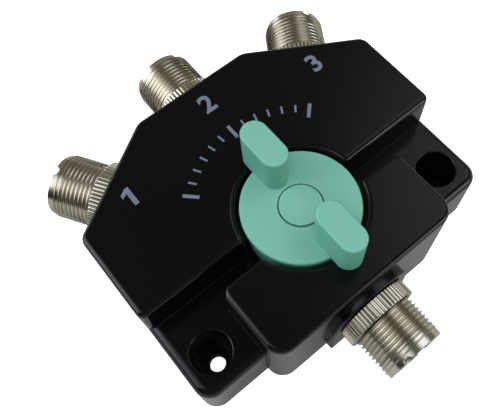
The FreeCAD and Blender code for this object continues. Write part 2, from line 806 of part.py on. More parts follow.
def knob():
    """Moulded knob: disc level with the housing, hollow skirt, centre post and two lobes."""
    disc = rod(disc_radius, disc_bottom, disc_top)
    disc = disc.makeFillet(knob_rim_round, edges_where(disc, lambda e: lies_at_height(e, disc_top)))
    skirt_bottom = ear_height + knob_floor_gap
    skirt = rod(skirt_radius, skirt_bottom, disc_bottom)
    body = fused([disc, skirt])
    hollow = rod(skirt_radius - skirt_wall, skirt_bottom - cut_over, disc_bottom)
    hollow = hollow.cut(rod(knob_post_radius, post_bottom, disc_bottom + cut_over))
    socket = rod(shaft_radius + knob_shaft_gap, skirt_bottom - cut_over, shaft_top)
    key = bar(-shaft_radius, shaft_radius, shaft_flat + knob_shaft_gap, shaft_radius + cut_over,
              post_bottom, shaft_top)
    cuts = [hollow, socket.cut(key),
            rod(knob_screw_radius + hole_gap, shaft_top - cut_over, disc_top),
            rod(knob_screw_head_radius + hole_gap, screw_seat, disc_top),
            rod(cap_radius + cap_groove, cap_floor, disc_top + cut_over)]
    return fused([body.cut(cuts), knob_lobe(1), knob_lobe(-1)])


def knob_cap():
    """Plain push-in cap over the knob's screw."""
    top = disc_top + cap_proud
    cap = rod(cap_radius, cap_floor, top)
    return cap.makeFillet(cap_round, edges_where(cap, lambda e: lies_at_height(e, top)))


def knob_screw():
    head_top = screw_seat + knob_screw_head_height
    tip = screw_seat - knob_screw_length
    head = knob_screw_head_radius
    screw = spun_up([(0, tip), (knob_screw_radius, tip), (knob_screw_radius, screw_seat),
                     (head, screw_seat), (head, head_top), (0, head_top)])
    half, long = drive_recess_width / 2, knob_screw_radius
    deep = head_top - drive_recess_depth
    return screw.cut([bar(-long, long, -half, half, deep, head_top + cut_over),
                      bar(-half, half, -long, long, deep, head_top + cut_over)])


pieces = {
    "housing": housing(),
    "bottom_cover": bottom_cover(),
    "cover_screws": cover_screws(),
    "knob": knob(),
    "knob_cap": knob_cap(),
    "knob_screw": knob_screw(),
    "shaft": shaft(),
    "shaft_bush": shaft_bush(),
    "retaining_clip": retaining_clip(),
    "rotor_hub": rotor_hub(),
    "rotor_contact": rotor_contact(),
    "contact_rivets": contact_rivets(),
    "hub_pin": hub_pin(),
    "detent_plate": detent_plate(),
    "plate_screws": plate_screws(),
    "detent_ball": detent_ball(),
    "detent_spring": detent_spring(),
}
for port in ports:
    pieces[port + "_shell"] = at_port(socket_shell(port), port)
    pieces[port + "_ring"] = at_port(socket_ring(port), port)
    pieces[port + "_insulator"] = at_port(socket_insulator(), port)
    pieces[port + "_contact"] = at_port(socket_contact(port), port)
    pieces[port + "_wiper"] = wiper(port)

for name, shape in pieces.items():
    shape.exportStep(os.path.join("parts", name + ".step"))
    print(name, "solids", len(shape.Solids), "valid", shape.isValid(), "volume", round(shape.Volume, 1))
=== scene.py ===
"""Coaxial antenna switch: black cast housing, mint-green knob and nickel-plated sockets.

Pieces are drawn in millimetres, in the frame's axes: the knob's axis is Z, the underside is
at Z 0, and the middle outlet socket points along +Y. Each is scaled to metres when it is done.
"""
import bpy
import bmesh
import math
from mathutils import Matrix, Vector


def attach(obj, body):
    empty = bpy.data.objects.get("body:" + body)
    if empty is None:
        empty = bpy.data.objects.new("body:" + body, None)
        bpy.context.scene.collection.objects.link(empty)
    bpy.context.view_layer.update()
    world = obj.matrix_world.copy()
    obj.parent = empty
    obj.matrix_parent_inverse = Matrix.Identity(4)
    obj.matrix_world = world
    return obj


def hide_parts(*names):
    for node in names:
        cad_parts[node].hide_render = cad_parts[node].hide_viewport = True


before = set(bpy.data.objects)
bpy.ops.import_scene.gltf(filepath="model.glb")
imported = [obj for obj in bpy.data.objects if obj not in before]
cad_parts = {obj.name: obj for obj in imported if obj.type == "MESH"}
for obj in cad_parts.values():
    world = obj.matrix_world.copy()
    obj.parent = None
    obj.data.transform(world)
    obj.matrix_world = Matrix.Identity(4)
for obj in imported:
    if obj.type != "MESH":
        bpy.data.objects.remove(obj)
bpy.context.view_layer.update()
scene = bpy.context.scene
scene.view_settings.view_transform = "Standard"

# ---- Camera ----
# Above the left ear, looking down on the switch at about 65 degrees.
camera_place = (-38.2, -42.2, 156.4)
camera_right = Vector((0.7695, -0.6384, -0.0176))
camera_ahead = Vector((0.2516, 0.3283, -0.9105))
bpy.ops.object.camera_add(location=[v / 1000 for v in camera_place])
camera = bpy.context.object
camera.name = "camera"
camera_up = camera_right.cross(camera_ahead)
camera.rotation_euler = Matrix((camera_right, camera_up, -camera_ahead)).transposed().to_euler()
camera.data.lens = 46.21
camera.data.shift_x = -0.0589
camera.data.shift_y = -0.0218
camera.data.clip_start = 0.005
scene.camera = camera


# ---- Housing ----
# One zinc casting, painted satin black: a six-sided plateau and a front block with a channel
# between them, two low ears with deep screw pockets, and a raised pad behind each socket.
# Drawn as separate prisms that are joined, then hollowed from below.
half_width = 41.9
top = 27.0
ear_top = 16.7
plateau_front = 1.55
shoulder = 25.0
plateau_back = 41.2
facet_half = 15.6
block_half = 25.6
block_back = -3.65
block_front = -23.0
ear_front = -18.5
ear_reach = 2.9               # how far the ears' slab runs on under the plateau
edge_round = 1.4              # rounding along the top edges of the plateau and the block
ear_edge_round = 2.2
corner_plateau_front = 1.9    # corner radii in plan
corner_shoulder = 3.0
corner_facets = 4.5
corner_block_back = 2.5
corner_block_front = 4.3
corner_ear = 4.0
recess = 14.5                 # radius of the knob's recess
recess_lip = 1.5              # rounding where the recess meets a front wall
boss = 6.2                    # radius of the boss round the shaft's bush
boss_low = 14.0
boss_top = 19.0
pad_half = 11.0               # half the width of the pad behind each socket
pad_top = top - 3.2
pad_top_radius = 10.9
pad_root = 1.3                # depth of a pad's foot inside the wall
pad_edge_round = 0.35
wall = 2.6
hollow_top = 15.0
cover_inset = 1.4             # outside of the housing to the edge of the bottom cover
cover_seat = 1.6
hollow_half = block_half - wall
cover_half = block_half - cover_inset
bush_hole = 4.22
socket_hole = 8.04
socket_axis = 12.9            # height of the sockets' axis
screw_x = 34.3                # middle of the ears' screw holes
screw_y = -10.4
screw_hole = 2.0
screw_pocket_foot = 3.0       # height of the floor of the pockets for the screws' heads


def only(piece):
    """Leaves one piece selected and active, in object mode."""
    if bpy.context.mode != "OBJECT":
        bpy.ops.object.mode_set(mode="OBJECT")
    bpy.ops.object.select_all(action="DESELECT")
    piece.select_set(True)
    bpy.context.view_layer.objects.active = piece


def corner(before, at, after, radius, steps=8):
    """Points of a rounded corner between two straight sides, in drawing order."""
    at = Vector(at)
    back = (Vector(before) - at).normalized()
    ahead = (Vector(after) - at).normalized()
    half = back.angle(ahead) / 2
    middle = at + (back + ahead).normalized() * radius / math.sin(half)
    start = at + back * radius / math.tan(half) - middle
    end = at + ahead * radius / math.tan(half) - middle
    swing = start.angle_signed(end)
    return [middle + Matrix.Rotation(-swing * i / steps, 2) @ start for i in range(steps + 1)]


def rectangle(half, low, high):
    """Corners of a rectangle that is centred on X 0 and runs from one Y to another."""
    return [(-half, low), (half, low), (half, high), (-half, high)]


def mirrored(points):
    """Outline points, followed by their mirror images about X 0 in the opposite order."""
    return points + [(-x, *rest) for x, *rest in reversed(points)]


def rounded_outline(corners, steps=8):
    """Closed outline from (x, y, radius) corners; radius 0 keeps a corner sharp."""
    points = []
    for i, (x, y, radius) in enumerate(corners):
        if radius:
            before, after = corners[i - 1][:2], corners[(i + 1) % len(corners)][:2]
            points += corner(before, (x, y), after, radius, steps)
        else:
            points.append(Vector((x, y)))
    return points


def arc(x, y, radius, start, end, steps):
    """Points on an arc from one angle to another, in degrees."""
    angles = [math.radians(start + (end - start) * i / steps) for i in range(steps + 1)]
    return [Vector((x + radius * math.cos(a), y + radius * math.sin(a))) for a in angles]


def chain(name, points):
    """A new mesh of one chain of edges, drawn by extruding a single vertex."""
    bpy.ops.object.select_all(action="DESELECT")
    bpy.ops.mesh.primitive_plane_add(size=1, location=points[0])
    piece = bpy.context.object
    piece.name = piece.data.name = name
    bpy.ops.object.transform_apply(location=False, rotation=False, scale=True)
    bpy.ops.object.mode_set(mode="EDIT")
    bpy.ops.mesh.select_mode(type="VERT")
    bpy.ops.mesh.merge(type="CENTER")
    for last, point in zip(points, points[1:]):
        bpy.ops.mesh.extrude_region_move(TRANSFORM_OT_translate={"value": point - last})
    bpy.ops.object.mode_set(mode="OBJECT")
    bpy.ops.object.transform_apply(location=True, rotation=False, scale=False)
    return piece


def prism(name, outline, low, high):
    """A solid with an outline in plan, from one height to another."""
    piece = chain(name, [Vector((x, y, low)) for x, y in outline])
    bpy.ops.object.mode_set(mode="EDIT")
    bpy.ops.mesh.select_all(action="SELECT")
    bpy.ops.mesh.edge_face_add()
    bpy.ops.mesh.extrude_region_move(TRANSFORM_OT_translate={"value": (0, 0, high - low)})
    bpy.ops.mesh.select_all(action="SELECT")
    bpy.ops.mesh.normals_make_consistent(inside=False)
    bpy.ops.object.mode_set(mode="OBJECT")
    return piece


def turned(name, profile, steps=128):
    """A solid turned about Z from a closed profile of (radius, height) points."""
    points = [Vector((r, 0, z)) for r, z in profile]
    if profile[0][0] > 0:
        points.append(points[0])
    piece = chain(name, points)
    bpy.ops.object.mode_set(mode="EDIT")
    bpy.ops.mesh.select_all(action="SELECT")
    bpy.ops.mesh.spin(steps=steps, angle=2 * math.pi, center=(0, 0, 0), axis=(0, 0, 1))
    bpy.ops.mesh.select_all(action="SELECT")
    bpy.ops.mesh.remove_doubles(threshold=0.001)
    bpy.ops.mesh.normals_make_consistent(inside=False)
    bpy.ops.object.mode_set(mode="OBJECT")
    return piece


def pick_edges(piece, test):
    """Opens a piece in edit mode with only the edges selected that pass a test."""
    only(piece)
    bpy.ops.object.mode_set(mode="EDIT")
    bpy.ops.mesh.select_mode(type="EDGE")
    bpy.ops.mesh.select_all(action="DESELECT")
    mesh = bmesh.from_edit_mesh(piece.data)
    for edge in mesh.edges:
        edge.select_set(test(edge.verts[0].co, edge.verts[1].co))
    bmesh.update_edit_mesh(piece.data)


def round_edges(piece, test, size, segments=5):
    """Rounds the edges of a piece that pass a test."""
    pick_edges(piece, test)
    bpy.ops.mesh.bevel(offset=size, segments=segments, profile=0.5, affect="EDGES")
    bpy.ops.object.mode_set(mode="OBJECT")


def at_height(height):
    """A test for edges that lie at one height."""
    return lambda a, b: abs(a.z - height) < 0.01 and abs(b.z - height) < 0.01


def combine(piece, others, operation):
    """Joins other solids to a piece, or cuts them out of it, and deletes them."""
    for other in others:
        only(piece)
        step = piece.modifiers.new("combine", "BOOLEAN")
        step.operation = operation
        step.solver = "EXACT"
        step.object = other
        bpy.ops.object.modifier_apply(modifier=step.name)
        bpy.data.objects.remove(other)


def cylinder(name, radius, low, high, sides=96):
    """A round solid about Z, from one height to another."""
    bpy.ops.object.select_all(action="DESELECT")
    bpy.ops.mesh.primitive_cylinder_add(vertices=sides, radius=radius, depth=high - low,
                                        location=(0, 0, (low + high) / 2))
    piece = bpy.context.object
    piece.name = piece.data.name = name
    bpy.ops.object.transform_apply(location=True, rotation=True, scale=True)
    return piece


def place(piece, turn=(0, 0, 0), move=(0, 0, 0)):
    """Turns a piece, moves it and writes its place into its mesh."""
    only(piece)
    piece.rotation_euler = [math.radians(a) for a in turn]
    piece.location = move
    bpy.ops.object.transform_apply(location=True, rotation=True, scale=True)


def finish_piece(piece, body, material, smooth=35, replaces=()):
    """Scales a piece to metres, smooths it, gives it its material and body, and hides the CAD nodes
    that it replaces.
    """
    only(piece)
    piece.scale = (0.001, 0.001, 0.001)
    bpy.ops.object.transform_apply(location=True, rotation=True, scale=True)
    bpy.ops.object.shade_smooth_by_angle(angle=math.radians(smooth))
    even = piece.modifiers.new("even", "WEIGHTED_NORMAL")
    even.keep_sharp = True
    bpy.ops.object.modifier_apply(modifier=even.name)
    piece.data.materials.clear()
    piece.data.materials.append(material)
    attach(piece, body)
    if replaces:
        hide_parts(*replaces)


# the ports: middle of each wall face, and the socket's turn about Z from +Y
facet_turn = math.degrees(math.atan2(plateau_back - shoulder, half_width - facet_half))
facet_x = (half_width + facet_half) / 2
facet_y = (shoulder + plateau_back) / 2
ports = {
    "jack_1": (-facet_x, facet_y, facet_turn),
    "jack_2": (0.0, plateau_back, 0.0),
    "jack_3": (facet_x, facet_y, -facet_turn),
    "jack_common": (0.0, block_front, 180.0),
}
pad_proud = {"jack_1": 0.85, "jack_2": 0.85, "jack_3": 0.85, "jack_common": 1.75}
notch_turn = {"jack_1": 2, "jack_2": 47, "jack_3": 30, "jack_common": 30}

# outline of the plateau, with the knob's recess and its two rounded lips in the front wall
lip_x = math.sqrt((recess + recess_lip) ** 2 - (plateau_front + recess_lip) ** 2)
lip_turn = math.degrees(math.atan2(plateau_front + recess_lip, lip_x))
outline = rounded_outline(mirrored([(half_width, plateau_front, corner_plateau_front),
                                    (half_width, shoulder, corner_shoulder),
                                    (facet_half, plateau_back, corner_facets)]))
outline += arc(-lip_x, plateau_front + recess_lip, recess_lip, -90, -lip_turn, 6)
outline += arc(0, 0, recess, 180 - lip_turn, lip_turn, 90)[1:-1]
outline += arc(lip_x, plateau_front + recess_lip, recess_lip, 180 + lip_turn, 270, 6)
housing = prism("housing_casting", outline, 0, top)
round_edges(housing, at_height(top), edge_round, 7)

# the front block, with the other side of the recess
lip_x = math.sqrt((recess + recess_lip) ** 2 - (block_back - recess_lip) ** 2)
lip_turn = math.degrees(math.atan2(recess_lip - block_back, lip_x))
outline = rounded_outline(mirrored([(-block_half, block_back, corner_block_back),
                                    (-block_half, block_front, corner_block_front)]))
outline += arc(lip_x, block_back - recess_lip, recess_lip, 90, 180 - lip_turn, 6)
outline += arc(0, 0, recess, -lip_turn, lip_turn - 180, 90)[1:-1]
outline += arc(-lip_x, block_back - recess_lip, recess_lip, lip_turn, 90, 6)
block = prism("block", outline, 0, top)
round_edges(block, at_height(top), edge_round, 7)

# the ears, one low slab across the front that also floors the channel and the recess
slab_back = plateau_front + ear_reach
ears = prism("ears", rounded_outline([(-half_width, ear_front, corner_ear),
                                      (half_width, ear_front, corner_ear),
                                      (half_width, slab_back, 0), (-half_width, slab_back, 0)]),
             0, ear_top)
round_edges(ears, lambda a, b: at_height(ear_top)(a, b) and min(a.y, b.y) < slab_back - 0.1,
            ear_edge_round, 7)
recess_floor = cylinder("floor_disc", recess + recess_lip, 0, ear_top)
bush_boss = cylinder("boss", boss, boss_low, boss_top)


def pad(port):
    """Raised pad with a round top that a socket's ring nut seats on."""
    proud = pad_proud[port]
    piece = prism("pad", rectangle(pad_half, -pad_root, proud), 0, pad_top)
    round_edges(piece, lambda a, b: at_height(pad_top)(a, b) and abs(a.x - b.x) < 0.01,
                pad_top_radius, 24)
    round_edges(piece, lambda a, b: min(a.y, b.y) > proud - 0.01 and max(a.z, b.z) > 0.01,
                pad_edge_round, 4)
    x, y, turn = ports[port]
    place(piece, (0, 0, turn), (x, y, 0))
    return piece


combine(housing, [block, ears, recess_floor, bush_boss] + [pad(port) for port in ports], "UNION")


def plateau_inset(inset, shoulder_inset, facet_inset):
    """Corners of the plateau's outline, moved inwards and without the knob's recess."""
    x, front, back = half_width - inset, plateau_front + inset, plateau_back - inset
    facet = facet_half - facet_inset
    return [(-x, front), (x, front), (x, shoulder - shoulder_inset), (facet, back), (-facet, back),
            (-x, shoulder - shoulder_inset)]


# the hollow from below, the seat for the bottom cover, and the holes for sockets and bush
inside = plateau_inset(wall, 1.4, 0.7)
front_wall = block_front + wall
upper = [prism("upper", outline, hollow_top - 0.1, top - wall)
         for outline in (inside, rectangle(hollow_half, front_wall, block_back - wall))]
for part in upper:
    combine(part, [cylinder("well", recess + wall, boss_low, top)], "DIFFERENCE")
cuts = [prism("hollow", inside, -1, hollow_top),
        prism("hollow", rectangle(hollow_half, front_wall, 6.0), -1, hollow_top),
        prism("seat", plateau_inset(cover_inset, 0.8, 0.4), -1, cover_seat),
        prism("seat", rectangle(cover_half, block_front + cover_inset, 4.8), -1, cover_seat),
        cylinder("bush_hole", bush_hole, 10, 20)] + upper
for x, y, turn in ports.values():
    hole = cylinder("socket_hole", socket_hole, -5.0, 3.0)
    place(hole, (-90, 0, 0))
    place(hole, (0, 0, turn), (x, y, socket_axis))
    cuts.append(hole)

# deep tapered pockets for the screw heads in the ears, with a softly rounded mouth
for side in (-1, 1):
    pocket = turned("pocket", [(0, -1), (screw_hole, -1), (screw_hole, screw_pocket_foot),
                               (4.35, screw_pocket_foot), (4.62, 16.2), (4.68, 16.42), (4.82, 16.6),
                               (5.05, ear_top), (5.05, 18.0), (0, 18.0)], 72)
    place(pocket, move=(side * screw_x, screw_y, 0))
    cuts.append(pocket)
combine(housing, cuts, "DIFFERENCE")


def material(name):
    """A new node material; returns it with its node tree and its Principled shader."""
    made = bpy.data.materials.new(name)
    made.use_nodes = True
    return made, made.node_tree, made.node_tree.nodes["Principled BSDF"]


def add(tree, kind, **settings):
    """A node with its settings; names of inputs are given as in_NAME."""
    node = tree.nodes.new(kind)
    for key, value in settings.items():
        if key.startswith("in_"):
            node.inputs[key[3:].replace("_", " ")].default_value = value
        else:
            setattr(node, key, value)
    return node


def maths(tree, operation, *values):
    """A Math node's output; each value is a number or the socket that it comes from."""
    node = add(tree, "ShaderNodeMath", operation=operation)
    for taken, value in zip(node.inputs, values):
        if isinstance(value, float):
            taken.default_value = value
        else:
            tree.links.new(value, taken)
    return node.outputs["Value"]


def two_colours(tree, mask, first, second):
    """Mix of two colours by a mask socket; each colour is a value or a socket."""
    mix = tree.nodes.new("ShaderNodeMix")
    mix.data_type = "RGBA"
    for name, colour in (("A", first), ("B", second)):
        if isinstance(colour, tuple):
            mix.inputs[name].default_value = (*colour, 1)
        else:
            tree.links.new(colour, mix.inputs[name])
    tree.links.new(mask, mix.inputs["Factor"])
    return mix.outputs["Result"]


def group(name, inputs, outputs):
    """A node group with named sockets, returned with its input and output nodes."""
    tree = bpy.data.node_groups.new(name, "ShaderNodeTree")
    for label, kind, value in inputs:
        made = tree.interface.new_socket(name=label, in_out="INPUT", socket_type=kind)
        if value is not None:
            made.default_value = value
    for label, kind in outputs:
        tree.interface.new_socket(name=label, in_out="OUTPUT", socket_type=kind)
    return tree, tree.nodes.new("NodeGroupInput"), tree.nodes.new("NodeGroupOutput")


def mottle_group():
    """Soft blotches and fine grain in object space, as a mask, a grain height and specks."""
    tree, given, out = group("mottle", [("Coordinates", "NodeSocketVector", None),
                                        ("Blotch Scale", "NodeSocketFloat", 60.0),
                                        ("Grain Scale", "NodeSocketFloat", 2500.0),
                                        ("Speck Scale", "NodeSocketFloat", 450.0)],
                             [("Blotch", "NodeSocketFloat"), ("Grain", "NodeSocketFloat"),
                              ("Specks", "NodeSocketFloat")])
    blotch = add(tree, "ShaderNodeTexNoise", in_Detail=4.0, in_Roughness=0.6)
    grain = add(tree, "ShaderNodeTexNoise", in_Detail=2.0, in_Roughness=0.6)
    cells = add(tree, "ShaderNodeTexVoronoi", feature="F1")
    near = add(tree, "ShaderNodeMapRange", in_From_Min=0.012, in_From_Max=0.022, in_To_Min=1.0,
               in_To_Max=0.0)
    parts = add(tree, "ShaderNodeSeparateColor")
    link = tree.links.new
    for node, scale in ((blotch, "Blotch Scale"), (grain, "Grain Scale"), (cells, "Speck Scale")):
        link(given.outputs["Coordinates"], node.inputs["Vector"])
        link(given.outputs[scale], node.inputs["Scale"])
    link(cells.outputs["Distance"], near.inputs["Value"])
    link(cells.outputs["Color"], parts.inputs["Color"])
    rare = maths(tree, "GREATER_THAN", parts.outputs["Red"], 0.93)
    link(blotch.outputs["Fac"], out.inputs["Blotch"])
    link(grain.outputs["Fac"], out.inputs["Grain"])
    link(maths(tree, "MULTIPLY", near.outputs["Result"], rare), out.inputs["Specks"])
    return tree


def edge_group():
    """A mask that is 1 on rounded outer edges and 0 on flat faces."""
    tree, given, out = group("edges", [("Radius", "NodeSocketFloat", 0.0006)],
                             [("Edge", "NodeSocketFloat")])
    rounded = add(tree, "ShaderNodeBevel", samples=6)
    plain = add(tree, "ShaderNodeNewGeometry")
    match = add(tree, "ShaderNodeVectorMath", operation="DOT_PRODUCT")
    mask = add(tree, "ShaderNodeMapRange", in_From_Min=0.995, in_From_Max=0.90, in_To_Min=0.0,
               in_To_Max=1.0)
    link = tree.links.new
    link(given.outputs["Radius"], rounded.inputs["Radius"])
    link(rounded.outputs["Normal"], match.inputs[0])
    link(plain.outputs["Normal"], match.inputs[1])
    link(match.outputs["Value"], mask.inputs["Value"])
    link(mask.outputs["Result"], out.inputs["Edge"])
    return tree


mottle = mottle_group()
edges = edge_group()


def use(tree, shared, **values):
    """Places a shared node group in a material with its own values."""
    node = tree.nodes.new("ShaderNodeGroup")
    node.node_tree = shared
    for key, value in values.items():
        node.inputs[key.replace("_", " ")].default_value = value
    return node


def mottled(name, scales, first, second, rough, bump=None, metallic=0.0, by_edges=False):
    """A material that goes from one colour to another in blotches, or else along its edges, where
    the second colour is a painted highlight.

    The scales are those of the blotches, the grain and the specks. The roughness is a range or
    one value, and the bump a strength and a height in metres for the grain. The nodes that a
    material may build on are named place, spots, tone and grain.
    """
    made, tree, shader = material(name)
    link = tree.links.new
    here = add(tree, "ShaderNodeTexCoord", name="place")
    spots = use(tree, mottle, Blotch_Scale=scales[0], Grain_Scale=scales[1], Speck_Scale=scales[2])
    spots.name = "spots"
    link(here.outputs["Object"], spots.inputs["Coordinates"])
    mask = painted_edge_highlight(tree) if by_edges else spots.outputs["Blotch"]
    tone = two_colours(tree, mask, first, second)
    tone.node.name = "tone"
    link(tone, shader.inputs["Base Color"])
    if isinstance(rough, tuple):
        waver = add(tree, "ShaderNodeMapRange", in_To_Min=rough[0], in_To_Max=rough[1])
        link(spots.outputs["Blotch"], waver.inputs["Value"])
        link(waver.outputs["Result"], shader.inputs["Roughness"])
    else:
        shader.inputs["Roughness"].default_value = rough
    if bump:
        grain = add(tree, "ShaderNodeBump", name="grain", in_Strength=bump[0], in_Distance=bump[1])
        link(spots.outputs["Grain"], grain.inputs["Height"])
        link(grain.outputs["Normal"], shader.inputs["Normal"])
    shader.inputs["Metallic"].default_value = metallic
    return made, tree, shader


def painted_edge_highlight(tree):
    """A mask socket that is 1 along a piece's outer edges, where a lighter colour is painted as a
    highlight.
    """
    return use(tree, edges, Radius=0.0004).outputs["Edge"]


def levelness(tree):
    """A mask socket in a mottled material that is 1 on level faces and 0 on upright ones."""
    facing = add(tree, "ShaderNodeSeparateXYZ")
    tree.links.new(tree.nodes["place"].outputs["Normal"], facing.inputs["Vector"])
    return maths(tree, "MULTIPLY", facing.outputs["Z"], facing.outputs["Z"])


# satin black paint with a fine orange-peel grain, a few dust specks and a lighter colour painted
# along the edges as a highlight; it shines most on the rounded edges, where the surface slopes
# between level and upright
black_paint, tree, shader = mottled("black_satin_paint", (45.0, 1800.0, 160.0),
                                    (0.0022, 0.0022, 0.0024), (0.018, 0.018, 0.019),
                                    (0.14, 0.20), bump=(0.10, 0.00004), by_edges=True)
# dust specks laid over the base colour, which carries the painted edge highlight
dust_and_edge_highlight = two_colours(tree, tree.nodes["spots"].outputs["Specks"],
                    tree.nodes["tone"].outputs["Result"], (0.12, 0.12, 0.12))
level = levelness(tree)
slope = maths(tree, "MULTIPLY", level, maths(tree, "SUBTRACT", 1.0, level))
gloss = add(tree, "ShaderNodeMapRange", in_From_Max=0.25, in_To_Min=0.22, in_To_Max=0.45)
tree.links.new(dust_and_edge_highlight, shader.inputs["Base Color"])
tree.links.new(slope, gloss.inputs["Value"])
tree.links.new(gloss.outputs["Result"], shader.inputs["Specular IOR Level"])
shader.inputs["IOR"].default_value = 1.45

finish_piece(housing, "body", black_paint, replaces=["housing"])


def dress(node, finish):
    """Gives a CAD node its finish."""
    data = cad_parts[node].data
    data.materials.clear()
    data.materials.append(finish)


dress("bottom_cover", black_paint)


# ---- Printed marks ----
# Pale grey-violet screen print on the housing's top: a number for each outlet and a plain
# graduated arc round the knob, with a longer stroke at each of the three positions.
ink = mottled("pale_ink", (900.0, 5000.0, 900.0), (0.120, 0.135, 0.200),
              (0.160, 0.178, 0.255), 0.55)[0]
number_size = 6.8
number_weight = 0.17          # how far the numbers' strokes are thickened
number_places = {"1": (-27.6, 26.0), "2": (0.0, 34.2), "3": (27.1, 26.6)}
figure_one = [(-0.40, -2.45), (0.75, -2.45), (0.75, 2.45), (-0.15, 2.45), (-1.75, 1.50),
              (-1.75, 0.42), (-0.40, 1.12)]
for number, (x, y) in number_places.items():
    if number == "1":
        mark = prism("print_number_1", [(x + u, y + v) for u, v in figure_one], top - 0.006,
                     top + 0.014)
    else:
        bpy.ops.object.select_all(action="DESELECT")
        bpy.ops.object.text_add(location=(x, y, top + 0.004))
        mark = bpy.context.object
        mark.data.body = number
        mark.data.size = number_size
        mark.data.align_x = "CENTER"
        mark.data.align_y = "CENTER"
        mark.data.offset = number_weight
        mark.data.extrude = 0.01
        bpy.ops.object.convert(target="MESH")
        mark.name = mark.data.name = "print_number_" + number
        bpy.ops.object.transform_apply(location=True, rotation=True, scale=True)
    finish_piece(mark, "body", ink)
strokes = []
stroke_step = 7.5             # degrees from one stroke to the next
for i in range(-6, 7):
    inner, outer, half = (22.6, 26.4, 0.42) if i % 6 == 0 else (23.9, 25.9, 0.24)
    stroke = prism("stroke", rectangle(half, inner, outer), top - 0.01, top + 0.02)
    place(stroke, (0, 0, -stroke_step * i))
    strokes.append(stroke)
scale_marks = strokes[0]
only(scale_marks)
for stroke in strokes:
    stroke.select_set(True)
bpy.ops.object.join()
scale_marks.name = scale_marks.data.name = "print_scale"
finish_piece(scale_marks, "body", ink)


# ---- Knob ----
# Mint-green moulding: a flat disc level with the housing's top, a hollow skirt below it, and
# two upright lobes that overhang the disc. Turned about Z, with the lobes joined on.
disc_top = 27.1
lobe_half = 3.16
lobe_near = 9.01              # centre of a lobe's inner round end
lobe_far = 15.49
lobe_top = 38.3
cap_seat = 26.15
knob = turned("knob_moulding", [
    (3.05, 20.3), (5.4, 20.3), (5.4, 25.4), (11.1, 25.4), (11.1, 17.35), (11.25, 17.2),
    (12.75, 17.2), (12.9, 17.35), (12.9, 25.2), (13.1, 25.4), (13.4, 25.4), (13.6, 25.48),
    (13.7, 25.7), (13.7, 26.6), (13.66, 26.79), (13.55, 26.95), (13.39, 27.06), (13.2, disc_top),
    (5.42, disc_top), (5.34, 27.07), (5.3, 26.98), (5.3, cap_seat), (2.95, cap_seat), (2.95, 24.45),
    (1.65, 24.45), (1.65, 23.75), (3.05, 23.75)], 160)
overhang_from = 12.5          # where a lobe leaves the disc and stands clear of the housing
overhang_foot = 27.3
lobes = []
for side in (1, -1):
    stadium = arc(0, lobe_far, lobe_half, 0, 180, 32) + arc(0, lobe_near, lobe_half, 180, 360, 32)
    lobe = prism("lobe", [(side * x, side * y) for x, y in stadium], 26.3, lobe_top)
    round_edges(lobe, at_height(lobe_top), 0.45)
    overhang = turned("overhang", [(overhang_from, 26.0), (30.0, 26.0), (30.0, overhang_foot),
                                   (overhang_from, overhang_foot)])
    combine(lobe, [overhang], "DIFFERENCE")
    lobes.append(lobe)
combine(knob, lobes, "UNION")

# mint plastic: even colour, a deeper green painted on upright walls as shade, a paler green painted
# along the edges as a highlight, and a soft satin skin with faint turning rings on the disc
mint, tree, shader = mottled("mint_plastic", (70.0, 1500.0, 220.0), (0.172, 0.437, 0.356),
                             (0.203, 0.475, 0.390), (0.38, 0.47), bump=(0.12, 0.00003))
mint_painted_shade = (0.132, 0.408, 0.303)
mint_painted_highlight = (0.30, 0.62, 0.52)
# painted shade: a deeper green on upright walls, by how level the surface is
painted_shade_tone = two_colours(tree, levelness(tree), mint_painted_shade, tree.nodes["tone"].outputs["Result"])
# painted highlight: a paler green along the outer edges
pale = maths(tree, "MULTIPLY", painted_edge_highlight(tree), 0.7)
tree.links.new(two_colours(tree, pale, painted_shade_tone, mint_painted_highlight), shader.inputs["Base Color"])
rings = add(tree, "ShaderNodeTexWave", wave_type="RINGS", rings_direction="Z",
            in_Scale=1400.0, in_Distortion=1.5)
tree.links.new(tree.nodes["place"].outputs["Object"], rings.inputs["Vector"])
ringed = maths(tree, "MULTIPLY_ADD", rings.outputs["Fac"], 0.5,
               tree.nodes["spots"].outputs["Grain"])
tree.links.new(ringed, tree.nodes["grain"].inputs["Height"])
shader.inputs["Specular IOR Level"].default_value = 0.15
shader.inputs["Subsurface Weight"].default_value = 0.35
shader.inputs["Subsurface Radius"].default_value = (0.0006, 0.0018, 0.0012)
shader.inputs["Subsurface Scale"].default_value = 1.0
finish_piece(knob, "knob", mint, replaces=["knob"])


# ---- Knob cap ----
# Small push-in cap of the same plastic over the knob's screw, with a thin gap round it.
cap_radius = 4.89
cap = turned("knob_cap_disc", [(0, cap_seat), (cap_radius, cap_seat), (cap_radius, 27.1),
                               (4.87, 27.23), (4.82, 27.31), (4.8, 27.35), (2.4, 27.36),
                               (0, 27.365)], 96)
finish_piece(cap, "knob", mint, replaces=["knob_cap"])


# ---- Sockets ----
# Turned brass barrels with a nickel plate: a right-hand 24 per inch thread, a plain mouth
# with two notches that key the plug, and a flange inside the housing.
thread = 7.94                 # outside radius of the thread
pitch = 25.4 / 24
root = thread - 0.7
thread_turns = 14
mouth = 16.3                  # housing wall to the barrel's mouth
mouth_radius = 7.45
neck = 14.6                   # housing wall to the end of the full thread
bore = 6.05
mouth_round = 0.25
notch_half = 1.15
flange = 9.5
flange_back = -4.1
flange_front = -2.6

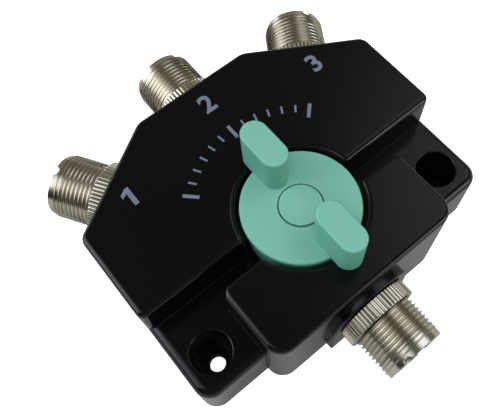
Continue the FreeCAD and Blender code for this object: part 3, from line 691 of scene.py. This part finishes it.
# one pitch of the thread's profile, swept as a helix by the screw modifier
rod = chain("barrel", [Vector((r, 0, z)) for r, z in (
    (root, 0), (root + 0.03, 0.14), (root + 0.12, 0.26), (root + 0.30, 0.37),
    (thread - 0.04, 0.475), (thread, 0.51), (thread, 0.55), (thread - 0.04, 0.585),
    (root + 0.30, pitch - 0.37), (root + 0.12, pitch - 0.26), (root + 0.03, pitch - 0.14),
    (root, pitch))])
sweep = rod.modifiers.new("helix", "SCREW")
sweep.axis = "Z"
sweep.screw_offset = pitch
sweep.iterations = thread_turns
sweep.steps = sweep.render_steps = 192
only(rod)
bpy.ops.object.modifier_apply(modifier=sweep.name)
bpy.ops.object.mode_set(mode="EDIT")
bpy.ops.mesh.select_mode(type="VERT")
bpy.ops.mesh.select_all(action="SELECT")
bpy.ops.mesh.remove_doubles(threshold=0.001)
bpy.ops.mesh.fill_holes(sides=0)
bpy.ops.mesh.normals_make_consistent(inside=False)
bpy.ops.object.mode_set(mode="OBJECT")
place(rod, move=(0, 0, 0.6))
envelope = turned("envelope", [(0, 1.9), (8.3, 1.9), (8.3, neck + 0.25), (7.15, neck + 0.95),
                               (0, neck + 0.95)])
combine(rod, [envelope], "INTERSECT")


def rounded_mouth(radius, way):
    """Profile of a rounded rim at the mouth; the way is -1 on its outside and 1 on its inside."""
    return [(radius, mouth - mouth_round), (radius + way * 0.07, mouth - 0.07),
            (radius + way * mouth_round, mouth)]


collar = turned("collar", [(0, neck - 1.5), (mouth_radius, neck - 1.5)]
                + rounded_mouth(mouth_radius, -1) + [(0, mouth)])
seat_plate = turned("flange", [(0, flange_back), (flange, flange_back), (flange, flange_front),
                               (thread - 0.1, flange_front), (thread - 0.1, 2.4), (0, 2.4)])
socket = turned("socket", [(0, -5), (6.3, -5), (6.3, 10.3), (bore, 10.3)]
                + rounded_mouth(bore, 1) + [(bore + mouth_round, 18), (0, 18)])
notch_floor = mouth - 0.05
notch = prism("notch", [(notch_half, 18), (notch_half, notch_floor)]
              + arc(0, notch_floor, notch_half, 0, -180, 16)[1:-1]
              + [(-notch_half, notch_floor), (-notch_half, 18)], -10, 10)
place(notch, (90, 0, 0))
combine(collar, [notch], "DIFFERENCE")
for part in (rod, collar, seat_plate):
    only(socket)
    bpy.ops.object.duplicate()
    combine(part, [bpy.context.object], "DIFFERENCE")
bpy.data.objects.remove(socket)
only(rod)
collar.select_set(True)
seat_plate.select_set(True)
bpy.ops.object.join()

# nickel plate on turned brass: warm metal with fine turning lines and a little tarnish
nickel = mottled("nickel_plate", (140.0, 2600.0, 500.0), (0.55, 0.515, 0.425),
                 (0.63, 0.60, 0.515), (0.15, 0.24), bump=(0.03, 0.00002), metallic=1.0)[0]


def to_port(piece, port):
    """Turns a piece built along Z to its port's direction and moves it there."""
    x, y, turn = ports[port]
    place(piece, (-90, 0, 0))
    place(piece, (0, 0, turn), (x, y, socket_axis))


def copy_of(piece, name):
    """A copy of a piece with a mesh of its own."""
    only(piece)
    bpy.ops.object.duplicate()
    made = bpy.context.object
    made.name = made.data.name = name
    return made


for port in ports:
    barrel = copy_of(rod, port + "_barrel")
    place(barrel, (0, 0, notch_turn[port]))
    to_port(barrel, port)
    finish_piece(barrel, "body", nickel, smooth=40, replaces=[port + "_shell"])
bpy.data.objects.remove(rod)


# ---- Ring nuts ----
# Knurled nickel-plated nuts that pull each barrel's flange against the wall: straight ribs
# between narrow grooves, rounded in front and chamfered at the back.
ribs = 56
ring_outer = 9.05
ring_bore = 7.98
ring_length = 4
rib_shape = (-0.42, -0.07, 0.0, 0.02, 0.0, -0.07)    # one groove and five points across each rib
ring_sides = len(rib_shape) * ribs
ring = cylinder("ring", ring_outer, 0, ring_length, ring_sides)
pick_edges(ring, at_height(ring_length))
bpy.ops.mesh.bevel(offset=0.35, segments=3, profile=0.5, affect="EDGES")
bpy.ops.object.mode_set(mode="OBJECT")
pick_edges(ring, at_height(0))
bpy.ops.mesh.bevel(offset=0.3, segments=1, affect="EDGES")
bpy.ops.mesh.select_mode(type="VERT")
for step, rise in enumerate(rib_shape):
    bpy.ops.mesh.select_all(action="DESELECT")
    mesh = bmesh.from_edit_mesh(ring.data)
    for vertex in mesh.verts:
        spot = round(math.atan2(vertex.co.y, vertex.co.x) / (2 * math.pi) * ring_sides)
        vertex.select_set(spot % len(rib_shape) == step)
    bmesh.update_edit_mesh(ring.data)
    grow = 1 + rise / ring_outer
    bpy.ops.transform.resize(value=(grow, grow, 1), center_override=(0, 0, 0))
bpy.ops.object.mode_set(mode="OBJECT")
combine(ring, [cylinder("ring_bore", ring_bore, -1, ring_length + 1)], "DIFFERENCE")
for port in ports:
    nut = copy_of(ring, port + "_ring_nut")
    place(nut, move=(0, 0, pad_proud[port]))
    to_port(nut, port)
    finish_piece(nut, "body", nickel, smooth=25, replaces=[port + "_ring"])
bpy.data.objects.remove(ring)


# ---- Insulators and contacts ----
# Off-white plastic plugs pressed into the barrels, and slit silver-plated centre contacts.
cream = mottled("cream_insulator", (180.0, 3000.0, 300.0), (0.70, 0.66, 0.56),
                (0.80, 0.77, 0.68), 0.38, bump=(0.10, 0.00003))[0]
silver = mottled("silver_plate", (220.0, 3000.0, 500.0), (0.72, 0.66, 0.50),
                 (0.84, 0.80, 0.70), (0.20, 0.34), metallic=1.0)[0]
for port in ports:
    dress(port + "_insulator", cream)
    dress(port + "_contact", silver)
    dress(port + "_wiper", silver)


# ---- Screws and inner mechanism ----
# Zinc-plated screws in the bottom cover, and the parts inside: steel shaft, clip, pin, plate,
# ball and spring, brass bush, moulded hub and silver-plated rotor contact with its rivets.
steel = mottled("zinc_steel", (260.0, 2200.0, 500.0), (0.44, 0.44, 0.43),
                (0.58, 0.58, 0.57), (0.28, 0.42), metallic=1.0)[0]
for node in ("cover_screws", "knob_screw", "shaft", "retaining_clip", "hub_pin", "detent_plate",
             "plate_screws", "detent_ball", "detent_spring"):
    dress(node, steel)
for node in ("shaft_bush", "rotor_contact", "contact_rivets"):
    dress(node, silver)
dress("rotor_hub", cream)


# ---- Floor, world and lamps ----
# A plain floor and backdrop that are pure white to the camera, and a dim studio for what shines:
# a large soft light beyond the left outlet, smaller ones round it. Two broad lamps hang above.
bpy.ops.object.select_all(action="DESELECT")
bpy.ops.mesh.primitive_plane_add(size=4.0, location=(0, 0, -0.0002))
ground = bpy.context.object
ground.name = ground.data.name = "floor"
white, tree, shader = material("white_floor")
shader.inputs["Base Color"].default_value = (0.58, 0.58, 0.57, 1)
shader.inputs["Roughness"].default_value = 0.8
shader.inputs["Specular IOR Level"].default_value = 0.1
rays = add(tree, "ShaderNodeLightPath")
tree.links.new(rays.outputs["Is Camera Ray"], shader.inputs["Emission Strength"])
shader.inputs["Emission Color"].default_value = (1, 1, 1, 1)
ground.data.materials.append(white)

world = bpy.data.worlds.new("studio")
scene.world = world
world.use_nodes = True
tree = world.node_tree
way = add(tree, "ShaderNodeTexCoord")


def towards(azimuth, elevation):
    """Unit vector of a direction: azimuth from +Y towards +X, in degrees."""
    a, e = math.radians(azimuth), math.radians(elevation)
    return Vector((math.cos(e) * math.sin(a), math.cos(e) * math.cos(a), math.sin(e)))


def soft_patch(azimuth, elevation, inner, outer, strength):
    """A round patch of the studio that fades out between two angles from its middle."""
    near = add(tree, "ShaderNodeVectorMath", operation="DOT_PRODUCT")
    near.inputs[1].default_value = towards(azimuth, elevation)
    fade = add(tree, "ShaderNodeMapRange", interpolation_type="SMOOTHSTEP",
               in_From_Min=math.cos(math.radians(outer)), in_From_Max=math.cos(math.radians(inner)),
               in_To_Max=strength)
    tree.links.new(way.outputs["Generated"], near.inputs[0])
    tree.links.new(near.outputs["Value"], fade.inputs["Value"])
    return fade.outputs["Result"]


studio_base = 0.185
patches = (                   # azimuth, elevation, full to and gone at degrees, strength
    (-52, 24, 6, 31, 3.4),
    (-62, 55, 6, 28, 1.3),
    (-20, 9, 3, 18, 1.3),
    (91, 54, 4, 27, 1.5),
    (35, 12, 10, 60, 0.08),
    (150, 9, 3, 20, 3.0),
    (-94, 10, 12, 30, -0.165),
    (-60, 84, 2, 18, -0.08),
)
total = studio_base
for patch in patches:
    total = maths(tree, "ADD", soft_patch(*patch), total)
studio_light = tree.nodes["Background"]
tint = two_colours(tree, total, (1.0, 0.92, 0.67), (0.95, 0.98, 1.08))
backdrop = add(tree, "ShaderNodeBackground", in_Color=(1, 1, 1, 1), in_Strength=1.0)
rays = add(tree, "ShaderNodeLightPath")
either = add(tree, "ShaderNodeMixShader")
tree.links.new(total, studio_light.inputs["Strength"])
tree.links.new(tint, studio_light.inputs["Color"])
tree.links.new(rays.outputs["Is Camera Ray"], either.inputs["Fac"])
tree.links.new(studio_light.outputs["Background"], either.inputs[1])
tree.links.new(backdrop.outputs["Background"], either.inputs[2])
tree.links.new(either.outputs["Shader"], tree.nodes["World Output"].inputs["Surface"])


def lamp(name, place_mm, width, depth, power):
    """A broad lamp above the switch that doesn't show as a reflection."""
    bpy.ops.object.light_add(type="AREA", location=[v / 1000 for v in place_mm])
    made = bpy.context.object
    made.name = made.data.name = name
    made.data.shape = "RECTANGLE"
    made.data.size = width / 1000
    made.data.size_y = depth / 1000
    made.data.energy = power
    aim = Vector(lamp_aim) - Vector(place_mm)
    made.rotation_euler = aim.to_track_quat("-Z", "Y").to_euler()
    made.visible_glossy = False


lamp_aim = (0, 0, 15)
lamp("key_lamp", (-210, -240, 560), 420, 320, 1.45)
lamp("fill_lamp", (260, -180, 480), 420, 300, 0.70)
